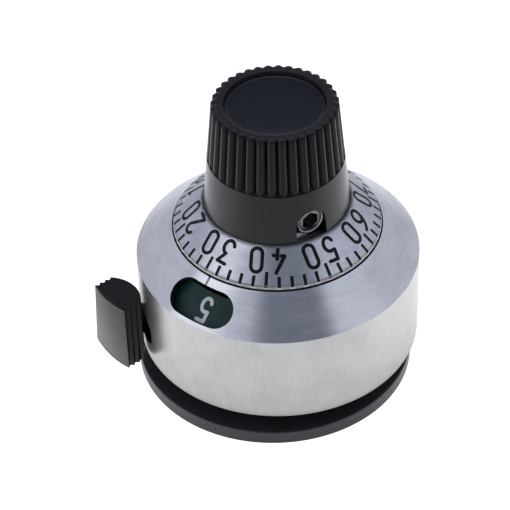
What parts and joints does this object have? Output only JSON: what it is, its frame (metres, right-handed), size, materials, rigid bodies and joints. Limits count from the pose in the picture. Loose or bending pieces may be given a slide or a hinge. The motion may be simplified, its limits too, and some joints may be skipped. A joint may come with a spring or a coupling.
{
  "type": "turns counting dial",
  "caption": "Multi-turn counting dial: fluted knob and graduated dial clamp to a potentiometer shaft; a geared ring shows whole turns in a window and a lever locks the knob.",
  "frame": {"origin": "centre of the base's underside, on the shaft axis, in the plane of the panel", "axes": "+Z along the shaft axis towards the knob; -Y towards the reader; the reading window and brake lever are to the reader's left (-X)"},
  "size_m": [0.0255, 0.0223, 0.0248],
  "materials": {
    "housing_aluminium": "satin turned aluminium, clear anodised",
    "dial_aluminium": "satin aluminium with engraved, black-filled marks",
    "base_plastic": "satin black moulded plastic",
    "knob_plastic": "semi-gloss black moulded plastic",
    "cap_plastic": "satin blue-black moulded plastic",
    "lever_plastic": "satin dark grey moulded plastic",
    "gear_plastic": "natural acetal",
    "ring_plastic": "black acetal",
    "number_ring_finish": "green-black lacquer with pale printed numbers",
    "brass_turned": "turned brass",
    "steel_bright": "nickel-plated steel",
    "steel_plain": "bright steel",
    "spring_steel": "blued spring steel",
    "washer_plastic": "low-friction washer plastic",
    "lining_fibre": "brake fibre"
  },
  "bodies": {
    "base": {"base_plate": "base_plastic", "housing_shell": "housing_aluminium", "hub_bush": "brass_turned", "thrust_washer": "washer_plastic", "fixed_ring_gear": "brass_turned", "ring_gear_screws": "steel_bright", "lever_pivot_pin": "steel_plain", "lever_spring_washer": "spring_steel", "lever_clip": "spring_steel"},
    "knob": {"hub": "brass_turned", "hub_clip": "spring_steel", "brake_drum": "steel_plain", "pinion_carrier": "brass_turned", "pinion_pin": "steel_plain", "pinion_clip": "spring_steel", "graduated_dial": "dial_aluminium", "dial_screws": "steel_bright", "knob_grip": "knob_plastic", "knob_cap": "cap_plastic", "set_screw": "steel_bright"},
    "pinion_gear": {"pinion": "gear_plastic"},
    "count_ring": {"count_ring_gear": "ring_plastic", "number_ring": "number_ring_finish"},
    "lever": {"brake_lever": "lever_plastic", "lever_pad": "lever_plastic", "brake_lining": "lining_fibre"}
  },
  "joints": [
    {"name": "knob_turn", "type": "hinge", "parent": "base", "child": "knob", "pos_m": [0, 0, 0], "axis": [0, 0, 1], "continuous": true},
    {"name": "count_ring_turn", "type": "hinge", "parent": "base", "child": "count_ring", "pos_m": [0, 0, 0], "axis": [0, 0, 1], "continuous": true},
    {"name": "pinion_spin", "type": "hinge", "parent": "knob", "child": "pinion_gear", "pos_m": [0.00467, 0.00467, 0.008], "axis": [0, 0, 1], "continuous": true},
    {"name": "lever_swing", "type": "hinge", "parent": "base", "child": "lever", "pos_m": [-0.008, 0.0002, 0.0053], "axis": [0, 0, 1], "range_deg": [-70, 0]}
  ],
  "couplings": [
    {"joint": "pinion_spin", "follows": "knob_turn", "ratio": -4.6667},
    {"joint": "count_ring_turn", "follows": "knob_turn", "ratio": 0.066667}
  ]
}
